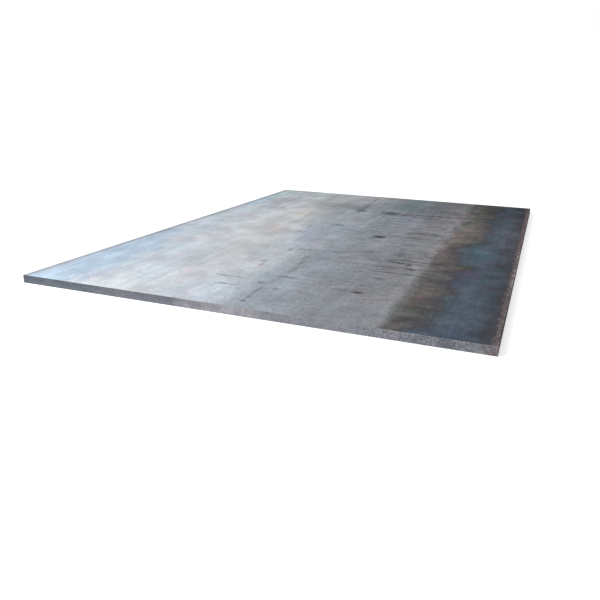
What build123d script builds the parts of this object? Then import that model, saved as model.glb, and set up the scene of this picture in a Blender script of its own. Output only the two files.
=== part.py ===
"""Wear plate, lying flat on its underside.

One piece of abrasion-resistant steel, 2000 x 3000 x 35 mm. It was rolled along Y and then cut out of
a larger mill plate by a torch that went once round. Each cut face leans in a little towards the top,
the flame melted the upper arris round, and the slag was scraped off the lower one.

Millimetres. The origin is the middle of the underside, +Z is up and +Y is the rolling direction.
"""

import os
from math import atan, degrees

from build123d import *

# Whole plate
plate_width = 2000.0  # along X, over the foot of the cut faces
plate_length = 3000.0  # along Y, over the foot of the cut faces
plate_thickness = 35.0  # along Z, between the two rolled faces

# Torch cut, the same all the way round
cut_lean = 0.8  # how far a cut face leans in from its foot to its top
turn_radius = 2.5  # left at the foot of a corner where the torch turned
melted_radius = 1.0  # upper arris, rounded by the flame
scraped_break = 0.6  # lower arris, where the slag was scraped off

os.makedirs("parts", exist_ok=True)


with BuildPart() as wear_plate:
    # The outline that the torch followed, as it came out at the bottom of the cut
    with BuildSketch() as cut_outline:
        Rectangle(plate_width, plate_length)
        fillet(cut_outline.vertices(), turn_radius)
    extrude(amount=plate_thickness, taper=degrees(atan(cut_lean / plate_thickness)))

    # The two arrises, each taken from the rolled face that it runs round
    top_face = wear_plate.faces().sort_by(Axis.Z)[-1]
    fillet(top_face.edges(), melted_radius)
    underside = wear_plate.faces().sort_by(Axis.Z)[0]
    chamfer(underside.edges(), scraped_break)

wear_plate.part.label = "wear_plate"
export_step(wear_plate.part, "parts/wear_plate.step")
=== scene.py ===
import math

import bpy
from mathutils import Matrix, Vector, geometry, noise


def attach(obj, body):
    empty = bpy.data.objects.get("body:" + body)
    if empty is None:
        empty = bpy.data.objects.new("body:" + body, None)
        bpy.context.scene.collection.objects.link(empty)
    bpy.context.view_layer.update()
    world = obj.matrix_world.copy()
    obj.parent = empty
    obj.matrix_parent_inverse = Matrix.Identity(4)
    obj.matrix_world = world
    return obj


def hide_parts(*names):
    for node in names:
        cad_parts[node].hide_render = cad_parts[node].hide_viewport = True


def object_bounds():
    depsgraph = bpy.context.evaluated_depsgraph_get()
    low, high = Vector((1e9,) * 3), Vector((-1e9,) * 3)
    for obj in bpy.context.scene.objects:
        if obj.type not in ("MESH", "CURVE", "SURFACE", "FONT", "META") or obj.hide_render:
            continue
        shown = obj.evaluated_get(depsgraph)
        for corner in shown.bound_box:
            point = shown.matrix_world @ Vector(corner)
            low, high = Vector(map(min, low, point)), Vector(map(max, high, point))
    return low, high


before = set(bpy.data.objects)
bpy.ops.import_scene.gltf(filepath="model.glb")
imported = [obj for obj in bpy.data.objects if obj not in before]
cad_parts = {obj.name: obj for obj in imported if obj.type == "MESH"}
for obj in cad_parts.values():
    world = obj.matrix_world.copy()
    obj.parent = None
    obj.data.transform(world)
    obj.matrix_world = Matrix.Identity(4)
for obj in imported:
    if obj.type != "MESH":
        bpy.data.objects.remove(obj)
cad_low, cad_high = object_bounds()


# Wear plate: one plate of abrasion-resistant steel, hot-rolled along Y and still covered in its scale.
# A torch cut it out of a larger plate. It left ripples and gouges on all four edges, and nicks along
# the front one. The mesh follows the solid's form and adds those.
half_width = cad_high.x
half_length = cad_high.y
thickness = cad_high.z
cut_lean = 0.0008
turn_radius = 0.0025
melted_radius = 0.001
scraped_break = 0.0006

# Relief of the cut: the ripples lag behind at the foot and are longer there
wander_depth = 0.0005
wander_length = 0.28
ripple_depth = 0.00035
top_ripple_length = 0.006
foot_ripple_length = 0.010
foot_lag = 0.006
gouge_depth = 0.0011
gouge_length = 0.016
pit_depth = 0.0005
pit_size = 0.005
pit_height = 0.010


def clamp(value):
    return max(0.0, min(1.0, value))


def ease(value, start, end):
    """0 before start and 1 after end, with a smooth change between."""
    share = clamp((value - start) / (end - start))
    return share * share * (3 - 2 * share)


def uneven(place, length, seed):
    """Smooth random value from 0 to 1 that changes over about that length, in metres."""
    return 0.5 + 0.5 * noise.noise(place / length + Vector((seed, 0, 0)))


def cut_inset(z):
    """How far the cut face lies inside the plate's foot at height z."""
    lean = cut_lean * (z - scraped_break) / (thickness - scraped_break)
    into_arris = z - (thickness - melted_radius)
    if into_arris > 0:
        return lean + melted_radius - math.sqrt(max(0.0, melted_radius**2 - into_arris**2))
    return max(lean, scraped_break - z)


def torch_relief(travelled, place, z):
    """Extra inset from the torch: its wander, its ripples, its gouges, and pits from the slag."""
    below_top = (thickness - z) / thickness
    behind = travelled - foot_lag * below_top**2
    wander = wander_depth * uneven(Vector((place.x, place.y, 0)), wander_length, seed=11)
    ripple_length = top_ripple_length + (foot_ripple_length - top_ripple_length) * below_top
    ripple = ripple_depth * uneven(Vector((behind, 0.15 * z, 0)), ripple_length, seed=23)
    gouge = gouge_depth * ease(uneven(Vector((behind, 0, 0)), gouge_length, seed=47), 0.70, 0.84)
    pits = pit_depth * ease(z, pit_height, melted_radius)
    pits *= uneven(Vector((place.x, place.y, z)), pit_size, seed=53)
    return wander + (0.45 + 0.55 * below_top) * ripple + below_top * gouge + pits


# Nicks along the upper arris of the front edge: place along X, width and depth
front_nicks = (
    (-0.985, 0.006, 0.0010),
    (-0.93, 0.010, 0.0012),
    (-0.52, 0.008, 0.0008),
    (-0.11, 0.010, 0.0007),
    (0.34, 0.007, 0.0009),
    (0.71, 0.016, 0.0014),
    (0.955, 0.010, 0.0012),
)
nick_height = 0.006


def nick_depth(x, z):
    reach = ease(z, thickness - nick_height, thickness - melted_radius)
    return sum(depth * reach * math.exp(-(((x - place) / width) ** 2)) for place, width, depth in front_nicks)


def rectangle(reach_x, reach_y):
    """The corners of a rectangle about the origin, from the near left one round to the right."""
    ways = ((-1, -1), (1, -1), (1, 1), (-1, 1))
    return [Vector((across * reach_x, along * reach_y, 0)) for across, along in ways]


# Stations once round the cut: a place on the rectangle that the turns are centred on, the way out
# of the plate there, how far the torch had travelled, and the side's number
station_spacing = 0.0027
steps_in_turn = 6
turns = rectangle(half_width - turn_radius, half_length - turn_radius)
stations = []
travelled = 0.0
for side in range(4):
    start, end = turns[side], turns[(side + 1) % 4]
    steps = round((end - start).length / station_spacing)
    outward = Vector((math.sin(side * math.pi / 2), -math.cos(side * math.pi / 2), 0))
    for step in range(steps):
        stations.append((start.lerp(end, step / steps), outward, travelled, side))
        travelled += (end - start).length / steps
    for step in range(steps_in_turn):
        angle = (side + step / steps_in_turn) * math.pi / 2
        stations.append((end, Vector((math.sin(angle), -math.cos(angle), 0)), travelled, side))
        travelled += turn_radius * math.pi / 2 / steps_in_turn
ring = len(stations)

# Levels from the underside to the top face, close together where the section curves
levels = [0.0, scraped_break / 2, scraped_break, 0.0014, 0.003, 0.006]
levels += [0.010, 0.0145, 0.019, 0.0235, 0.028, 0.0315]
steps_in_arris = 5
for step in range(steps_in_arris + 1):
    levels.append(thickness - melted_radius * (1 - math.sin(step / steps_in_arris * math.pi / 2)))

points = []
for z in levels:
    for place, outward, travelled, side in stations:
        inset = cut_inset(z) + torch_relief(travelled, place, z)
        if side == 0:
            inset += nick_depth(place.x, z)
        points.append(place + outward * (turn_radius - inset) + Vector((0, 0, z)))

TOP, UNDERSIDE, CUT_END, CUT_SIDE = range(4)
faces = []
face_slots = []
for level in range(len(levels) - 1):
    for i in range(ring):
        here = level * ring + i
        after = level * ring + (i + 1) % ring
        faces.append((here, after, after + ring, here + ring))
        face_slots.append(CUT_END if stations[i][3] % 2 == 0 else CUT_SIDE)

face_spacing = 0.05


def close_face(first, z, slot, upward):
    """Fills the outline that starts at point `first` with triangles over a loose grid."""
    outline = [points[first + i] for i in range(ring)]
    columns = int(2 * half_width / face_spacing)
    rows = int(2 * half_length / face_spacing)
    inside = []
    for column in range(1, columns):
        for row in range(1, rows):
            x = -half_width + 2 * half_width * column / columns
            y = -half_length + 2 * half_length * row / rows
            inside.append(Vector((x, y)))
    edges = [(i, (i + 1) % ring) for i in range(ring)]
    found = geometry.delaunay_2d_cdt([point.xy for point in outline] + inside, edges, [], 1, 1e-7)
    places, triangles, sources = found[0], found[2], found[3]
    numbers = []
    for place, source in zip(places, sources):
        if source[0] < ring:
            numbers.append(first + source[0])
        else:
            numbers.append(len(points))
            points.append(Vector((place.x, place.y, z)))
    for triangle in triangles:
        corners = [numbers[i] for i in triangle]
        faces.append(corners if upward else corners[::-1])
        face_slots.append(slot)


close_face((len(levels) - 1) * ring, thickness, TOP, True)
close_face(0, 0.0, UNDERSIDE, False)

mesh = bpy.data.meshes.new("wear_plate_cut")
mesh.from_pydata(points, [], faces)
mesh.polygons.foreach_set("material_index", face_slots)
mesh.polygons.foreach_set("use_smooth", [True] * len(faces))
mesh.set_sharp_from_angle(angle=math.radians(40))
plate = bpy.data.objects.new("wear_plate_cut", mesh)
bpy.context.scene.collection.objects.link(plate)
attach(plate, "root")
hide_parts("wear_plate")


def screen(red, green, blue):
    """The linear colour of a screen colour from 0 to 255."""
    return [
        value / 255 / 12.92 if value <= 10 else ((value / 255 + 0.055) / 1.055) ** 2.4
        for value in (red, green, blue)
    ] + [1.0]


class Finish:
    """One steel finish: a material, and short ways to add the nodes that the finishes share."""

    def __init__(self, name):
        self.material = bpy.data.materials.new(name)
        self.material.use_nodes = True
        self.tree = self.material.node_tree
        self.shader = self.tree.nodes["Principled BSDF"]
        self.place = self.node("ShaderNodeTexCoord", {}, "Object")
        split = self.node("ShaderNodeSeparateXYZ", {0: self.place}, None)
        self.x, self.y, self.z = split.outputs

    def node(self, kind, inputs, output=0, **settings):
        """Adds a node. An input is a value or another node's output."""
        made = self.tree.nodes.new(kind)
        for name, value in settings.items():
            setattr(made, name, value)
        for socket, value in inputs.items():
            if isinstance(value, bpy.types.NodeSocket):
                self.tree.links.new(value, made.inputs[socket])
            else:
                made.inputs[socket].default_value = value
        return made if output is None else made.outputs[output]

    def sum(self, first, second):
        return self.node("ShaderNodeMath", {0: first, 1: second}, operation="ADD")

    def minus(self, first, second):
        return self.node("ShaderNodeMath", {0: first, 1: second}, operation="SUBTRACT")

    def product(self, first, second):
        return self.node("ShaderNodeMath", {0: first, 1: second}, operation="MULTIPLY")

    def greater(self, first, second):
        return self.node("ShaderNodeMath", {0: first, 1: second}, operation="MAXIMUM")

    def between(self, value, start, end, low=0.0, high=1.0):
        """Goes smoothly from low to high while value goes from start to end."""
        inputs = {"Value": value, "From Min": start, "From Max": end, "To Min": low, "To Max": high}
        return self.node("ShaderNodeMapRange", inputs, interpolation_type="SMOOTHSTEP")

    def grain(self, size, detail=3.0, sharpness=0.55, shift=0.0):
        """Random value about 0.5 whose patches are about `size` metres along X, Y and Z."""
        scale = [1 / length for length in size]
        inputs = {"Vector": self.place, "Scale": scale, "Location": (shift, shift, 0)}
        spot = self.node("ShaderNodeMapping", inputs)
        inputs = {"Vector": spot, "Scale": 1.0, "Detail": detail, "Roughness": sharpness}
        return self.node("ShaderNodeTexNoise", inputs, "Fac")

    def push(self, grain, reach):
        """A push of up to `reach` metres either way that follows a grain."""
        return self.between(grain, 0.3, 0.7, -reach, reach)

    def shoved(self, scale, reach):
        """The place on the plate, pushed about by a noise, which makes a shape's outline ragged."""
        inputs = {"Vector": self.place, "Scale": scale, "Detail": 3.0}
        ragged = self.node("ShaderNodeTexNoise", inputs, "Color")
        shove = self.node("ShaderNodeVectorMath", {0: ragged, 1: (0.5, 0.5, 0.5)}, operation="SUBTRACT")
        shove = self.node("ShaderNodeVectorMath", {0: shove, "Scale": reach}, operation="SCALE")
        return self.node("ShaderNodeVectorMath", {0: self.place, 1: shove}, operation="ADD")

    def away(self, spot, x, y, reach_x, reach_y):
        """Distance from an oval at x, y: 0 in its middle and 1 on its outline."""
        inputs = {0: spot, 1: (1 / reach_x, 1 / reach_y, 0), 2: (-x / reach_x, -y / reach_y, 0)}
        away = self.node("ShaderNodeVectorMath", inputs, operation="MULTIPLY_ADD")
        return self.node("ShaderNodeVectorMath", {0: away}, "Value", operation="LENGTH")

    def bands(self, value, stops):
        """Colour by value: stops are (value, colour) pairs in rising order."""
        first, last = stops[0][0], stops[-1][0]
        inputs = {"Value": value, "From Min": first, "From Max": last}
        share = self.node("ShaderNodeMapRange", inputs)
        ramp = self.node("ShaderNodeValToRGB", {0: share}, None)
        elements = ramp.color_ramp.elements
        elements.remove(elements[1])
        elements[0].color = stops[0][1]
        for place, colour in stops[1:]:
            elements.new((place - first) / (last - first)).color = colour
        return ramp.outputs["Color"]

    def line(self, stops):
        """A number that follows a smooth line along Y, through (y, number) stops."""
        numbers = [number for _, number in stops]
        low, high = min(numbers), max(numbers)
        start, end = stops[0][0], stops[-1][0]
        share = self.node("ShaderNodeMapRange", {"Value": self.y, "From Min": start, "From Max": end})
        curve = self.node("ShaderNodeFloatCurve", {"Value": share}, None)
        points = curve.mapping.curves[0].points
        for place, number in stops[1:-1]:
            points.new((place - start) / (end - start), (number - low) / (high - low))
        points[0].location = (0, (stops[0][1] - low) / (high - low))
        points[len(stops) - 1].location = (1, (stops[-1][1] - low) / (high - low))
        curve.mapping.update()
        return self.node("ShaderNodeMapRange", {"Value": curve.outputs[0], "To Min": low, "To Max": high})

    def blend(self, share, base, other, way="MIX"):
        inputs = {0: share, 6: base, 7: other}
        return self.node("ShaderNodeMix", inputs, 2, data_type="RGBA", blend_type=way)

    def tinted(self, colour, tint):
        """Multiplies a colour by another one."""
        return self.blend(1.0, colour, tint, "MULTIPLY")

    def dim(self, colour, factor):
        """Multiplies a colour by a number."""
        return self.tinted(colour, self.node("ShaderNodeCombineColor", {0: factor, 1: factor, 2: factor}))

    def lift(self, colour, mask, change):
        """Makes a colour brighter by a share where the mask is 1, or darker by a negative one."""
        return self.dim(colour, self.sum(1.0, self.product(mask, change)))

    def shade(self, colour, grain, darkest, lightest):
        """Makes a colour darker and lighter by turns, with a grain."""
        return self.dim(colour, self.between(grain, 0.35, 0.65, darkest, lightest))

    def dress(self, colour, roughness, height, depth):
        """Puts colour and roughness on the shader, and a bump of that depth in metres."""
        bump = self.node("ShaderNodeBump", {"Height": height, "Distance": depth, "Strength": 1.0})
        self.tree.links.new(colour, self.shader.inputs["Base Color"])
        self.tree.links.new(roughness, self.shader.inputs["Roughness"])
        self.tree.links.new(bump, self.shader.inputs["Normal"])
        return self.material


# Dark marks that the rolls and the leveller pressed in: centre, reach along X and Y, darkness
roll_marks = (
    (0.100, 0.775, 0.085, 0.075, 0.46),
    (0.130, 0.760, 0.160, 0.070, 0.18),
    (0.200, 0.755, 0.050, 0.034, 0.36),
    (0.250, 0.745, 0.045, 0.030, 0.38),
    (0.260, 0.660, 0.060, 0.014, 0.14),
    (0.325, 0.795, 0.035, 0.030, 0.36),
    (0.380, 0.805, 0.030, 0.026, 0.38),
    (0.430, 0.810, 0.035, 0.030, 0.38),
    (0.560, 0.810, 0.020, 0.040, 0.36),
    (0.610, 0.825, 0.030, 0.018, 0.28),
    (0.360, 0.800, 0.240, 0.026, 0.34),
    (0.640, 0.825, 0.120, 0.026, 0.30),
    (0.350, 0.700, 0.120, 0.030, 0.24),
    (0.190, 0.600, 0.030, 0.025, 0.20),
    (0.272, 0.585, 0.025, 0.020, 0.20),
    (0.220, 0.598, 0.100, 0.022, 0.16),
    (0.440, 0.580, 0.110, 0.026, 0.22),
    (0.240, 0.310, 0.050, 0.016, 0.18),
    (0.350, 0.345, 0.030, 0.018, 0.22),
    (0.460, 0.390, 0.020, 0.016, 0.20),
    (0.400, 0.440, 0.110, 0.018, 0.16),
    (-0.110, 0.215, 0.036, 0.018, 0.38),
    (-0.083, 0.200, 0.030, 0.014, 0.30),
    (0.428, 0.177, 0.080, 0.022, 0.40),
    (0.512, 0.188, 0.050, 0.018, 0.34),
    (0.640, 0.165, 0.030, 0.018, 0.26),
    (0.625, 0.235, 0.018, 0.020, 0.26),
    (0.930, 0.270, 0.030, 0.025, 0.25),
    (0.920, 0.170, 0.020, 0.060, 0.22),
    (0.070, 0.072, 0.035, 0.014, 0.22),
    (-0.020, 0.090, 0.060, 0.012, 0.16),
    (0.212, -0.015, 0.042, 0.045, 0.58),
    (0.234, -0.008, 0.018, 0.030, 0.72),
    (0.198, -0.070, 0.045, 0.030, 0.26),
    (0.120, -0.110, 0.060, 0.020, 0.12),
    (0.404, 0.040, 0.045, 0.018, 0.36),
    (0.449, 0.031, 0.016, 0.014, 0.34),
    (-0.248, -0.071, 0.028, 0.030, 0.24),
    (0.125, -0.140, 0.060, 0.012, 0.18),
    (0.420, -0.165, 0.050, 0.030, 0.24),
    (0.409, -0.290, 0.018, 0.045, 0.20),
    (0.430, -0.385, 0.014, 0.045, 0.18),
    (-0.065, -0.508, 0.030, 0.014, 0.30),
    (-0.022, -0.497, 0.045, 0.010, 0.24),
    (0.110, -0.478, 0.050, 0.016, 0.32),
    (-0.133, -0.529, 0.013, 0.040, 0.26),
    (0.413, -0.528, 0.032, 0.036, 0.34),
    (0.404, -0.532, 0.014, 0.036, 0.32),
    (0.440, -0.563, 0.060, 0.018, 0.44),
    (0.462, -0.565, 0.035, 0.014, 0.58),
    (0.509, -0.584, 0.016, 0.030, 0.50),
    (0.462, -0.500, 0.050, 0.013, 0.52),
    (0.543, -0.514, 0.060, 0.012, 0.38),
    (0.555, -0.564, 0.060, 0.010, 0.32),
    (0.345, -0.568, 0.070, 0.012, 0.24),
    (0.202, -0.567, 0.080, 0.012, 0.26),
    (0.535, -0.662, 0.038, 0.015, 0.56),
    (0.411, -0.670, 0.090, 0.012, 0.32),
    (0.429, -0.760, 0.090, 0.012, 0.40),
    (0.540, -0.756, 0.060, 0.012, 0.38),
    (0.617, -0.766, 0.040, 0.012, 0.24),
    (0.420, -0.715, 0.050, 0.008, 0.18),
    (0.437, -0.882, 0.034, 0.024, 0.32),
    (0.411, -1.009, 0.035, 0.014, 0.28),
    (0.053, -1.036, 0.060, 0.013, 0.34),
    (0.407, -1.122, 0.032, 0.015, 0.58),
    (0.330, -1.116, 0.040, 0.020, 0.18),
    (-0.211, -1.125, 0.045, 0.012, 0.30),
    (-0.140, -1.124, 0.020, 0.012, 0.28),
    (-0.150, -1.236, 0.060, 0.008, 0.34),
    (-0.012, -1.162, 0.024, 0.012, 0.36),
    (0.018, -1.262, 0.010, 0.050, 0.28),
    (0.027, -1.418, 0.014, 0.012, 0.34),
    (0.024, -1.350, 0.008, 0.045, 0.30),
    (0.082, -1.222, 0.016, 0.018, 0.28),
    (-0.157, -0.811, 0.022, 0.026, 0.24),
    (-0.138, -0.884, 0.012, 0.036, 0.24),
    (-0.660, -0.810, 0.120, 0.040, 0.06),
    (0.005, -0.660, 0.014, 0.060, 0.24),
    (0.024, -0.770, 0.012, 0.060, 0.24),
    (0.036, -0.905, 0.014, 0.060, 0.22),
    (-0.150, 1.250, 0.012, 0.250, 0.16),
    (-0.490, 1.180, 0.035, 0.300, 0.09),
    (-0.800, 0.850, 0.060, 0.140, 0.08),
    (-0.660, -1.200, 0.040, 0.300, 0.07),
    (-0.460, -1.360, 0.030, 0.160, 0.08),
    (-0.136, 0.946, 0.022, 0.150, 0.30),
    (-0.130, 0.798, 0.026, 0.070, 0.40),
    (-0.175, 0.885, 0.050, 0.110, 0.12),
    (-0.097, 0.777, 0.018, 0.040, 0.36),
    (-0.256, 0.080, 0.012, 0.050, 0.26),
    (-0.230, -0.070, 0.012, 0.070, 0.22),
)

# Patches of thinner or thicker oxide: centre, reach along X and Y, and the colour that they multiply by
oxide_patches = (
    (0.16, 1.15, 0.070, 0.200, (0.90, 1.02, 1.03)),
    (0.02, 1.18, 0.060, 0.120, (0.96, 1.00, 1.05)),
    (-0.17, 0.94, 0.070, 0.160, (1.02, 0.96, 1.04)),
    (-0.78, 0.90, 0.100, 0.160, (1.01, 0.94, 0.97)),
    (-0.44, 0.74, 0.140, 0.140, (1.02, 0.97, 0.98)),
    (-0.38, 0.48, 0.120, 0.160, (1.03, 1.00, 0.95)),
    (-0.93, 0.22, 0.080, 0.180, (0.98, 1.03, 0.98)),
    (-0.46, 0.02, 0.120, 0.160, (1.03, 0.98, 0.97)),
    (-0.34, -0.50, 0.090, 0.160, (0.98, 0.98, 0.96)),
    (-0.26, -0.86, 0.080, 0.140, (1.02, 0.98, 1.01)),
    (-0.17, -0.10, 0.060, 0.260, (0.98, 0.99, 1.05)),
    (0.54, 0.76, 0.070, 0.240, (1.10, 1.01, 1.05)),
    (0.28, 0.60, 0.080, 0.140, (1.02, 0.98, 1.03)),
    (0.62, -0.18, 0.040, 0.200, (1.05, 0.96, 0.98)),
    (0.66, 0.30, 0.050, 0.260, (1.07, 1.01, 0.90)),
    (0.79, -0.62, 0.050, 0.090, (1.06, 0.84, 0.96)),
    (0.75, -0.50, 0.045, 0.060, (1.00, 1.02, 0.84)),
    (0.87, -0.46, 0.040, 0.070, (1.12, 0.90, 1.02)),
    (0.82, -0.22, 0.070, 0.140, (0.92, 1.08, 1.08)),
    (0.75, -0.88, 0.045, 0.080, (0.99, 0.93, 1.05)),
    (0.66, -1.02, 0.030, 0.080, (1.05, 0.96, 0.97)),
    (0.95, 0.45, 0.060, 0.500, (1.14, 0.97, 1.00)),
    (0.12, 0.66, 0.160, 0.090, (0.90, 0.91, 0.91)),
    (-0.60, 0.72, 0.070, 0.090, (1.11, 1.11, 1.11)),
    (-0.24, 0.16, 0.050, 0.070, (1.10, 1.10, 1.08)),
    (-0.19, 0.42, 0.070, 0.110, (0.94, 0.94, 0.92)),
    (-0.72, 0.18, 0.070, 0.090, (1.05, 1.05, 1.04)),
    (-0.60, -0.36, 0.070, 0.090, (1.05, 1.05, 1.05)),
    (-0.03, -0.38, 0.170, 0.070, (1.11, 1.11, 1.11)),
    (0.00, -0.66, 0.050, 0.110, (1.09, 1.09, 1.09)),
    (0.36, -0.55, 0.050, 0.300, (1.07, 1.07, 1.07)),
    (0.36, -1.42, 0.050, 0.070, (1.09, 1.09, 1.09)),
    (0.36, 1.08, 0.050, 0.080, (1.11, 1.11, 1.11)),
    (-0.48, 1.02, 0.045, 0.160, (0.90, 0.90, 0.90)),
    (-0.36, 1.38, 0.040, 0.070, (0.94, 0.94, 0.94)),
    (-0.73, -1.08, 0.080, 0.420, (0.93, 0.94, 0.95)),
    (-0.48, -1.10, 0.060, 0.260, (0.94, 0.95, 0.97)),
    (-0.28, -1.42, 0.080, 0.080, (1.08, 1.10, 1.12)),
    (0.48, -1.15, 0.045, 0.400, (0.94, 0.94, 0.94)),
    (0.68, 1.38, 0.060, 0.090, (0.84, 0.84, 0.83)),
    (0.67, 0.84, 0.080, 0.160, (1.19, 1.19, 1.18)),
    (0.64, 0.38, 0.060, 0.200, (1.14, 1.14, 1.14)),
    (0.62, 0.05, 0.090, 0.060, (1.10, 1.09, 1.09)),
    (0.66, -1.10, 0.050, 0.120, (1.12, 1.11, 1.10)),
    (0.88, -1.10, 0.080, 0.420, (1.09, 1.11, 1.13)),
    (0.90, -0.36, 0.050, 0.090, (1.10, 1.10, 1.12)),
    (-0.94, 1.30, 0.040, 0.240, (1.04, 1.00, 0.97)),
    (-0.60, -0.92, 0.240, 0.400, (0.975, 1.00, 1.03)),
    (-0.16, -1.36, 0.240, 0.140, (0.97, 1.00, 1.03)),
    (0.80, -1.42, 0.120, 0.080, (0.97, 1.02, 1.09)),
    (-0.94, -0.45, 0.050, 0.220, (1.04, 1.00, 0.97)),
)


def sheen_pale_left_and_grey_middle(steel, slow, patchy, toward_rear_less_reflection):
    """Colour from the left edge to the brown band, its pale left partly scale colour and partly a painted
    reflection. The border swings left where it cooled last.
    """
    x, y = steel.x, steel.y
    # Front colours, then rear ones: the brighter front ones partly hold a painted reflection.
    pale = steel.blend(toward_rear_less_reflection, steel.bands(x, (
        (-1.00, screen(182, 189, 197)),
        (-0.96, screen(192, 199, 208)),
        (-0.90, screen(198, 207, 217)),
        (-0.80, screen(195, 203, 211)),
        (-0.62, screen(205, 210, 215)),
        (-0.40, screen(198, 201, 204)),
        (-0.15, screen(190, 196, 203)),
    )), steel.bands(x, (
        (-1.00, screen(188, 196, 203)),
        (-0.90, screen(192, 206, 211)),
        (-0.80, screen(187, 194, 201)),
        (-0.60, screen(194, 201, 205)),
        (-0.40, screen(180, 184, 187)),
        (-0.15, screen(172, 176, 180)),
    )))

    # Blue strip along the left edge, which runs out between the middle and the rear
    strip_border = steel.line((
        (-1.5, -0.74),
        (-1.2, -0.75),
        (-0.8, -0.79),
        (-0.4, -0.87),
        (-0.1, -1.02),
        (0.2, -1.04),
        (0.5, -0.98),
        (0.8, -0.92),
        (1.2, -0.95),
        (1.5, -1.06),
    ))
    past_strip = steel.minus(x, strip_border)
    past_strip = steel.sum(past_strip, steel.push(patchy, 0.05))
    strip = steel.blend(steel.between(past_strip, 0.06, -0.06), (1, 1, 1, 1), (0.84, 0.94, 1.02, 1))
    pale = steel.tinted(pale, strip)

    # Front colours, then rear ones: the brighter front ones partly hold a painted reflection.
    grey = steel.blend(toward_rear_less_reflection, steel.bands(x, (
        (-0.50, screen(170, 176, 184)),
        (-0.20, screen(172, 180, 188)),
        (0.00, screen(158, 166, 174)),
        (0.20, screen(148, 153, 161)),
        (0.40, screen(136, 139, 145)),
        (0.54, screen(139, 141, 146)),
        (0.60, screen(130, 129, 132)),
    )), steel.bands(x, (
        (-0.50, screen(158, 160, 167)),
        (-0.20, screen(150, 156, 160)),
        (0.00, screen(146, 153, 159)),
        (0.20, screen(125, 135, 142)),
        (0.40, screen(116, 120, 126)),
        (0.54, screen(124, 126, 130)),
        (0.60, screen(119, 120, 122)),
    )))
    grey_border = steel.line((
        (-1.5, -0.10),
        (-0.8, -0.11),
        (-0.5, -0.17),
        (0.0, -0.27),
        (0.4, -0.31),
        (0.65, -0.38),
        (0.88, -0.48),
        (1.05, -0.32),
        (1.2, -0.12),
        (1.5, -0.12),
    ))
    past_border = steel.minus(x, grey_border)
    past_border = steel.sum(past_border, steel.push(slow, 0.07))
    past_border = steel.sum(past_border, steel.push(patchy, 0.04))
    colour = steel.blend(steel.between(past_border, -0.10, 0.10), pale, grey)

    # Painted highlight along the border, halfway along
    border_highlight = steel.product(steel.between(past_border, -0.10, -0.03), steel.between(past_border, 0.03, -0.02))
    border_highlight = steel.product(border_highlight, steel.product(steel.between(y, -0.8, -0.4), steel.between(y, 0.4, 0.1)))
    colour = steel.lift(colour, border_highlight, 0.12)

    left_tone = steel.line((
        (-1.5, 1.05),
        (-1.2, 1.04),
        (-0.9, 1.03),
        (-0.6, 0.97),
        (-0.3, 1.00),
        (0.05, 0.99),
        (0.35, 1.00),
        (0.65, 0.99),
        (0.9, 0.98),
        (1.2, 1.00),
        (1.5, 0.97),
    ))
    middle_tone = steel.line((
        (-1.5, 1.06),
        (-1.2, 1.04),
        (-0.9, 1.06),
        (-0.6, 0.99),
        (-0.3, 1.14),
        (0.05, 1.08),
        (0.35, 1.16),
        (0.65, 1.17),
        (0.9, 1.06),
        (1.2, 1.02),
        (1.5, 0.98),
    ))
    in_middle = steel.between(x, 0.10, 0.35)
    return steel.blend(in_middle, steel.dim(colour, left_tone), steel.dim(colour, middle_tone))


def brown_and_blue_bands(steel, toward_rear_less_reflection):
    """Brown heat band along the right edge, and past its wavy border the blue one."""
    blue_border = steel.line((
        (-1.5, 0.69),
        (-1.35, 0.715),
        (-1.2, 0.745),
        (-1.0, 0.745),
        (-0.82, 0.735),
        (-0.65, 0.76),
        (-0.45, 0.735),
        (-0.3, 0.71),
        (-0.1, 0.71),
        (0.05, 0.77),
        (0.3, 0.79),
        (0.7, 0.765),
        (0.9, 0.79),
        (1.2, 0.77),
        (1.5, 0.745),
    ))
    drift = steel.push(steel.grain((0.24, 0.17, 1), 4, 0.55, shift=3.1), 0.05)
    past_blue = steel.sum(steel.minus(steel.x, blue_border), drift)
    # Front colours, then rear ones: the brighter front ones partly hold a painted reflection.
    colour = steel.blend(toward_rear_less_reflection, steel.bands(past_blue, (
        (-0.18, screen(126, 123, 123)),
        (-0.11, screen(109, 106, 105)),
        (-0.06, screen(99, 96, 94)),
        (-0.015, screen(78, 78, 81)),
        (0.02, screen(80, 88, 98)),
        (0.08, screen(83, 95, 107)),
        (0.16, screen(79, 89, 100)),
        (0.22, screen(68, 70, 78)),
    )), steel.bands(past_blue, (
        (-0.18, screen(115, 114, 115)),
        (-0.11, screen(101, 99, 96)),
        (-0.06, screen(83, 81, 78)),
        (-0.015, screen(66, 66, 66)),
        (0.02, screen(63, 68, 77)),
        (0.08, screen(70, 76, 87)),
        (0.14, screen(65, 73, 83)),
        (0.20, screen(50, 48, 54)),
    )))
    tint = steel.bands(steel.grain((0.09, 0.15, 1), 3, 0.5, shift=41.0), (
        (0.33, (1.08, 0.98, 1.05, 1)),
        (0.45, (1, 1, 1, 1)),
        (0.55, (1, 1, 1, 1)),
        (0.67, (0.88, 1.05, 1.00, 1)),
    ))
    colour = steel.tinted(colour, tint)
    colour = steel.shade(colour, steel.grain((0.12, 0.09, 1), 4, 0.6, shift=47.0), 0.88, 1.10)
    colour = steel.shade(colour, steel.grain((0.018, 0.40, 1), 4, 0.6, shift=57.0), 0.93, 1.06)
    return steel.dim(colour, steel.line((
        (-1.5, 1.02),
        (-0.8, 0.99),
        (-0.5, 1.01),
        (-0.3, 1.08),
        (0.05, 1.05),
        (0.35, 1.14),
        (0.65, 1.12),
        (0.9, 1.03),
        (1.5, 0.98),
    )))


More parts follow.
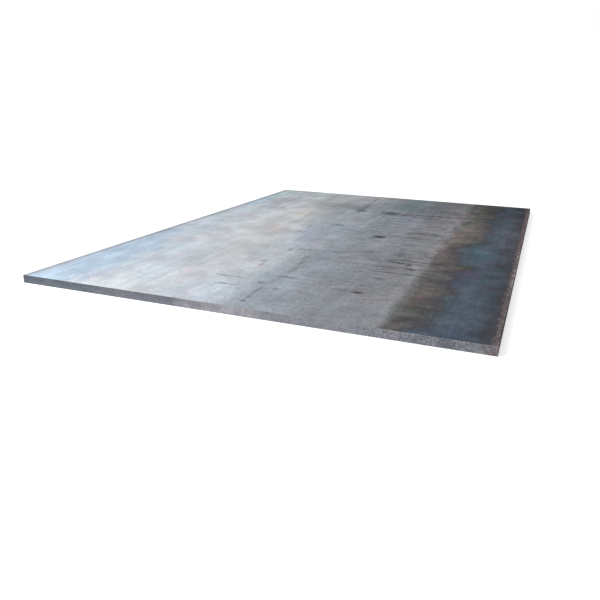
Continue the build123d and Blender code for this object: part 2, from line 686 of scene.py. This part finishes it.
def seam(steel, colour, border):
    """Where the brown band starts: a pale line, and a dark one along its right."""
    pale = steel.product(steel.between(border, 0.535, 0.560), steel.between(border, 0.590, 0.575))
    dark = steel.product(steel.between(border, 0.585, 0.600), steel.between(border, 0.625, 0.605))
    dark = steel.product(dark, steel.between(steel.y, -0.2, 0.4))
    return steel.lift(steel.lift(colour, pale, 0.13), dark, -0.18)


def heat_stripe(steel, colour):
    """Scale beside the cut, burnt loose and gone pinkish brown, widest on the right, with a painted highlight
    on the arris.
    """
    ragged = steel.push(steel.grain((0.020, 0.050, 1), 4, 0.65, shift=19.0), 0.008)
    inside_right = steel.sum(steel.minus(half_width, steel.x), ragged)
    inside_left = steel.sum(steel.sum(steel.x, half_width), ragged)
    burnt = steel.bands(steel.grain((0.010, 0.030, 1), 4, 0.7, shift=21.0), (
        (0.36, screen(84, 78, 79)),
        (0.50, screen(106, 99, 98)),
        (0.64, screen(138, 130, 128)),
    ))
    colour = steel.blend(steel.between(inside_right, 0.070, 0.020, 0.0, 0.45), colour, screen(80, 75, 80))
    colour = steel.blend(steel.between(inside_right, 0.028, 0.014, 0.0, 0.9), colour, burnt)

    # Painted highlight: a pale line on the arris in front of the middle, where the edge catches the light
    chipped = steel.product(steel.between(steel.y, -0.95, -0.70), steel.between(steel.y, 0.10, -0.10))
    chipped = steel.product(chipped, steel.between(inside_right, 0.009, 0.004, 0.0, 0.8))
    colour = steel.blend(chipped, colour, screen(158, 150, 148))
    return steel.blend(steel.between(inside_left, 0.040, 0.014, 0.0, 0.6), colour, screen(150, 150, 155))


def oxide_clouds(steel, colour):
    """Thin oxide: faint tints, pink and green by turns, and over them the patches."""
    tint = steel.bands(steel.grain((0.16, 0.26, 1), 3, 0.55, shift=11.7), (
        (0.32, (0.96, 1.01, 1.02, 1)),
        (0.45, (1, 1, 1, 1)),
        (0.55, (1, 1, 1, 1)),
        (0.68, (1.06, 0.98, 0.99, 1)),
    ))
    colour = steel.tinted(colour, tint)
    cloudy = steel.shoved(9.0, 0.22)
    patches = (1, 1, 1, 1)
    for patch_x, patch_y, reach_x, reach_y, tint in oxide_patches:
        away = steel.away(cloudy, patch_x, patch_y, reach_x, reach_y)
        patches = steel.blend(steel.between(away, 1.7, 0.3), patches, (*tint, 1), "MULTIPLY")
    return steel.tinted(colour, patches)


def rolled_drag(steel, colour, patchy):
    """Drag of the rolls, from broad stripes to flecks. Its cross streaks are weak in the blue front."""
    x, y = steel.x, steel.y
    streaked = steel.shade(colour, steel.grain((0.045, 0.90, 1), 3, 0.6, shift=35.9), 0.92, 1.07)
    colour = steel.blend(steel.between(y, -0.2, 0.7), colour, streaked)
    colour = steel.shade(colour, steel.grain((0.030, 0.60, 1), 3, 0.6, shift=5.9), 0.96, 1.04)
    fine = steel.grain((0.0035, 0.20, 1), 2, 0.5)
    colour = steel.shade(colour, fine, 0.975, 1.025)
    scratched = steel.shade(colour, steel.grain((0.009, 0.045, 1), 4, 0.7, shift=51.0), 0.90, 1.09)
    colour = steel.blend(steel.between(x, -0.45, 0.0, 0.25, 1.0), colour, scratched)
    crossed = steel.shade(colour, steel.grain((0.09, 0.035, 1), 4, 0.75, shift=61.0), 0.85, 1.13)
    where = steel.product(steel.between(y, -0.6, 0.6, 0.35, 1.0), steel.between(x, -0.30, 0.05, 0.15, 1.0))
    blue_front = steel.product(steel.between(x, 0.70, 0.80), steel.between(y, 0.3, -0.5))
    where = steel.product(where, steel.sum(1.0, steel.product(blue_front, -0.6)))
    colour = steel.blend(where, colour, crossed)
    colour = steel.shade(colour, steel.grain((0.20, 0.28, 1), 4, 0.6, shift=31.0), 0.90, 1.09)
    colour = steel.shade(colour, patchy, 0.94, 1.06)
    speckle = steel.grain((0.009, 0.012, 1), 3, 0.7, shift=2.2)
    colour = steel.shade(colour, speckle, 0.90, 1.09)
    flecks = steel.grain((0.0025, 0.0040, 1), 2, 0.6, shift=81.0)
    return steel.shade(colour, flecks, 0.93, 1.07), fine, speckle


def pressed_in(steel, speckle):
    """How dark the face is with marks: 0 where it has none, and near 1 in the darkest."""
    x = steel.x

    # Chatter: short cross lines where the leveller's rolls slipped
    chatter = steel.grain((0.10, 0.018, 1), 4, 0.7, shift=8.1)
    group = steel.grain((0.70, 0.10, 1), 2, 0.5, shift=1.4)
    chatter = steel.product(steel.between(chatter, 0.47, 0.66), steel.between(group, 0.38, 0.54))
    chatter = steel.product(chatter, steel.between(x, -0.10, 0.36))
    chatter = steel.product(chatter, steel.between(x, 0.80, 0.60))
    chatter = steel.product(chatter, steel.between(steel.y, -1.2, -0.4, 0.3, 1.0))

    # The single marks, whose outlines and faces are broken up by small grains
    spot = steel.shoved(55.0, 0.024)
    pressed = 0.0
    for mark_x, mark_y, reach_x, reach_y, darkness in roll_marks:
        away = steel.away(spot, mark_x, mark_y, reach_x, reach_y)
        pressed = steel.greater(pressed, steel.between(away, 1.5, 0.2, 0.0, min(0.9, 1.5 * darkness)))
    pressed = steel.greater(pressed, steel.product(chatter, 0.70))
    pressed = steel.product(pressed, steel.between(speckle, 0.30, 0.60, 0.75, 1.1))
    lined = steel.grain((0.070, 0.014, 1), 3, 0.6, shift=71.0)
    return steel.product(pressed, steel.between(lined, 0.38, 0.58, 0.70, 1.12))


def rolled_face_finish():
    """Scale on the upper face: pale and bluish left with a painted reflection, grey middle, brown and blue
    bands right.
    """
    steel = Finish("rolled_face_scale")
    slow = steel.grain((0.35, 0.60, 1), 4, 0.6)
    patchy = steel.grain((0.09, 0.14, 1), 4, 0.6, shift=7.3)
    # Darker toward the rear: the brighter front colours partly hold a painted reflection.
    toward_rear_less_reflection = steel.between(steel.y, 0.35, 1.15)
    # The pale left is partly scale colour and partly a painted reflection.
    wide_side = sheen_pale_left_and_grey_middle(steel, slow, patchy, toward_rear_less_reflection)
    band_side = brown_and_blue_bands(steel, toward_rear_less_reflection)
    border = steel.sum(steel.x, steel.push(patchy, 0.02))
    colour = steel.blend(steel.between(border, 0.57, 0.625), wide_side, band_side)
    colour = seam(steel, colour, border)
    colour = heat_stripe(steel, colour)
    colour = oxide_clouds(steel, colour)
    colour, fine, speckle = rolled_drag(steel, colour, patchy)
    pressed = pressed_in(steel, speckle)
    colour = steel.blend(pressed, colour, screen(52, 50, 52))

    roughness = steel.between(patchy, 0.3, 0.7, 0.44, 0.56)
    roughness = steel.sum(roughness, steel.product(pressed, 0.25))
    height = steel.sum(steel.product(fine, 0.5), speckle)
    height = steel.sum(height, steel.product(pressed, -1.5))
    steel.shader.inputs["Metallic"].default_value = 0.35
    steel.shader.inputs["Specular IOR Level"].default_value = 0.0
    steel.shader.inputs["Specular Tint"].default_value = (0.6, 0.6, 0.6, 1)
    return steel.dress(colour, roughness, height, 0.00012)


def cut_edge_finish(name, stops, along, speckles, rustiness, shine):
    """Torch-cut steel: dark blue-grey oxide, with drag lines that lag behind the flame lower down.

    The stops colour the edge along X or Y. The speckles start and are full at two places on it.
    The rustiness is how far rust covers it, and the shine how much bare metal shows through.
    """
    steel = Finish(name)
    run, end = (steel.x, half_width) if along == "X" else (steel.y, half_length)
    slow = steel.grain((0.16, 0.16, 0.2), 3, 0.6)
    colour = steel.bands(steel.sum(run, steel.push(slow, 0.08)), stops)

    # Painted light: paler towards the foot and darker at the top, most of all at the left
    below_top = steel.between(steel.z, thickness, 0.0)
    painted_foot_light = steel.between(run, -0.3, 0.2, 1.0, 0.3)
    colour = steel.lift(colour, painted_foot_light, steel.between(below_top, 0.0, 1.0, -0.08, 0.08))

    # Drag lines: narrow grains along the run of the cut, pulled back with depth
    lag = steel.product(steel.product(below_top, below_top), 0.007)
    traced = steel.node("ShaderNodeCombineXYZ", {0: steel.sum(run, lag), 2: steel.product(steel.z, 0.06)})
    fine_drag = steel.node("ShaderNodeTexNoise", {"Vector": traced, "Scale": 620.0, "Detail": 3.0}, "Fac")
    broad_drag = steel.node("ShaderNodeTexNoise", {"Vector": traced, "Scale": 130.0, "Detail": 3.0}, "Fac")
    colour = steel.shade(colour, fine_drag, 0.92, 1.08)
    colour = steel.shade(colour, broad_drag, 0.92, 1.08)

    # Mottled oxide, chipped off in specks
    mottle = steel.grain((0.045, 0.045, 0.012), 4, 0.65, shift=6.6)
    colour = steel.shade(colour, mottle, 0.88, 1.12)
    chipped = steel.grain((0.0055, 0.0055, 0.0065), 4, 0.7, shift=14.0)
    chips = steel.between(run, *speckles, 0.25, 1.0)
    colour = steel.blend(chips, colour, steel.shade(colour, chipped, 0.66, 1.42))

    # Pinkish end, heated twice where the torch turned
    heated = steel.tinted(colour, (0.94, 0.80, 0.80, 1))
    ragged_run = steel.sum(run, steel.push(mottle, 0.012))
    colour = steel.blend(steel.between(ragged_run, end - 0.060, end - 0.025), colour, heated)

    # Brighter arris above where the oxide has chipped off, partly melted bare metal and partly a painted
    # highlight, and a little rust
    arris = steel.product(steel.between(steel.z, thickness - 0.0022, thickness - 0.0008), chips)
    colour = steel.blend(steel.product(arris, 0.8 * shine), colour, screen(176, 178, 182))
    rust = steel.grain((0.06, 0.06, 0.02), 5, 0.65, shift=9.2)
    colour = steel.blend(steel.between(rust, 0.54, 0.70, 0.0, rustiness), colour, screen(106, 84, 72))

    roughness = steel.between(mottle, 0.3, 0.7, 0.50, 0.68)
    height = steel.sum(steel.sum(steel.product(fine_drag, 0.5), broad_drag), steel.product(chipped, 0.4))
    steel.shader.inputs["Metallic"].default_value = shine
    steel.shader.inputs["Specular IOR Level"].default_value = 0.2 * shine
    return steel.dress(colour, roughness, height, 0.0005)


def cut_end_finish():
    """The two ends: dark at the left, brighter where the torch ran hot in the middle."""
    return cut_edge_finish("cut_end_oxide", (
        (-1.0, screen(86, 93, 102)),
        (-0.88, screen(96, 102, 110)),
        (-0.8, screen(90, 96, 103)),
        (-0.5, screen(105, 109, 117)),
        (-0.2, screen(106, 107, 116)),
        (-0.14, screen(134, 134, 140)),
        (0.04, screen(145, 144, 150)),
        (0.12, screen(126, 127, 134)),
        (0.4, screen(128, 130, 138)),
        (0.6, screen(123, 124, 131)),
        (0.7, screen(116, 119, 126)),
        (0.78, screen(96, 99, 106)),
        (0.88, screen(112, 116, 123)),
        (0.97, screen(123, 124, 130)),
        (1.0, screen(122, 121, 127)),
    ), along="X", speckles=(0.35, 0.65), rustiness=0.1, shine=0.25)


def cut_side_finish():
    """The two long sides: rustier than the ends and specked all along, and darker, partly oxide and partly
    painted shade.
    """
    return cut_edge_finish("cut_side_oxide_and_shade", (
        (-1.5, screen(52, 47, 48)),
        (-0.8, screen(56, 53, 55)),
        (0.2, screen(62, 60, 63)),
        (0.9, screen(54, 52, 55)),
        (1.5, screen(60, 56, 57)),
    ), along="Y", speckles=(-3.0, -2.0), rustiness=0.4, shine=0.05)


def underside_finish():
    """Scale on the lower face: even grey, with the drag of the rolls and specks of rust."""
    steel = Finish("underside_scale")
    broad = steel.grain((0.45, 0.80, 1), 4, 0.6, shift=12.0)
    colour = steel.bands(broad, (
        (0.30, screen(104, 108, 116)),
        (0.50, screen(120, 123, 130)),
        (0.70, screen(136, 138, 143)),
    ))
    fine = steel.grain((0.0035, 0.30, 1), 2, 0.5, shift=3.3)
    colour = steel.shade(colour, steel.grain((0.030, 1.30, 1), 3, 0.6, shift=6.1), 0.90, 1.08)
    colour = steel.shade(colour, fine, 0.95, 1.04)
    rust = steel.grain((0.10, 0.07, 1), 6, 0.7, shift=15.5)
    colour = steel.blend(steel.between(rust, 0.55, 0.70, 0.0, 0.5), colour, screen(116, 88, 70))
    roughness = steel.between(rust, 0.35, 0.65, 0.48, 0.70)
    steel.shader.inputs["Metallic"].default_value = 0.35
    steel.shader.inputs["Specular IOR Level"].default_value = 0.3
    return steel.dress(colour, roughness, fine, 0.0001)


for finish in (rolled_face_finish, underside_finish, cut_end_finish, cut_side_finish):
    mesh.materials.append(finish())


# Floor: a plain white studio floor, which goes on past everything that a camera sees. It glows a
# little where a camera or a reflection sees it, so that it shows white and still keeps a shadow.
floor_reach = 60
floor_drop = 0.0005
floor_glow = 0.42
floor_mesh = bpy.data.meshes.new("floor")
floor_mesh.from_pydata(rectangle(floor_reach, floor_reach), [], [(0, 1, 2, 3)])
floor = bpy.data.objects.new("floor", floor_mesh)
floor.location.z = -floor_drop
bpy.context.scene.collection.objects.link(floor)


def seen(tree):
    """Adds nodes that give 1 to a camera's or a reflection's ray, and 0 to the rest."""
    rays = tree.nodes.new("ShaderNodeLightPath")
    either = tree.nodes.new("ShaderNodeMath")
    either.operation = "MAXIMUM"
    tree.links.new(rays.outputs["Is Camera Ray"], either.inputs[0])
    tree.links.new(rays.outputs["Is Glossy Ray"], either.inputs[1])
    return either.outputs[0]


white = bpy.data.materials.new("floor_white")
white.use_nodes = True
tree = white.node_tree
paint = tree.nodes["Principled BSDF"]
paint.inputs["Base Color"].default_value = (0.97, 0.97, 0.97, 1)
paint.inputs["Roughness"].default_value = 0.9
paint.inputs["Specular IOR Level"].default_value = 0.0
paint.inputs["Emission Color"].default_value = (1, 1, 1, 1)
glow = tree.nodes.new("ShaderNodeMath")
glow.operation = "MULTIPLY"
glow.inputs[1].default_value = floor_glow
tree.links.new(seen(tree), glow.inputs[0])
tree.links.new(glow.outputs[0], paint.inputs["Emission Strength"])
floor_mesh.materials.append(white)

# Light: an even pale room, which shows white, and one large soft lamp low on the left, whose shine
# lies on the pale side.
room_light = 0.62
world = bpy.data.worlds.new("room")
bpy.context.scene.world = world
world.use_nodes = True
tree = world.node_tree
background = tree.nodes["Background"]
background.inputs["Color"].default_value = (1, 1, 1, 1)
strength = tree.nodes.new("ShaderNodeMapRange")
strength.inputs["To Min"].default_value = room_light
strength.inputs["To Max"].default_value = 1.0
tree.links.new(seen(tree), strength.inputs["Value"])
tree.links.new(strength.outputs[0], background.inputs["Strength"])

lamp_place = Vector((-2.2, -3.4, 2.4))
lamp_target = Vector((-0.3, -0.3, 0))
lamp_data = bpy.data.lights.new("soft_lamp", "AREA")
lamp_data.shape = "RECTANGLE"
lamp_data.size = 3.0
lamp_data.size_y = 2.0
lamp_data.energy = 130
lamp = bpy.data.objects.new("soft_lamp", lamp_data)
lamp.location = lamp_place
lamp.rotation_euler = (lamp_target - lamp_place).to_track_quat("-Z", "Y").to_euler()
bpy.context.scene.collection.objects.link(lamp)

# Camera: where the photograph was taken from, 2 m in front of the near right corner and 0.8 m up.
camera_place = Vector((1.0627, -3.4996, 0.7981))
camera_turn = math.radians(20.916)
camera_dip = math.radians(18.073)
camera_roll = math.radians(1.300)
camera_data = bpy.data.cameras.new("camera")
camera_data.lens = 37.30
camera_data.sensor_width = 36
camera = bpy.data.objects.new("camera", camera_data)
camera.matrix_world = (
    Matrix.Translation(camera_place)
    @ Matrix.Rotation(camera_turn, 4, "Z")
    @ Matrix.Rotation(math.pi / 2 - camera_dip, 4, "X")
    @ Matrix.Rotation(camera_roll, 4, "Z")
)
bpy.context.scene.collection.objects.link(camera)
bpy.context.scene.camera = camera
bpy.context.scene.view_settings.view_transform = "Standard"
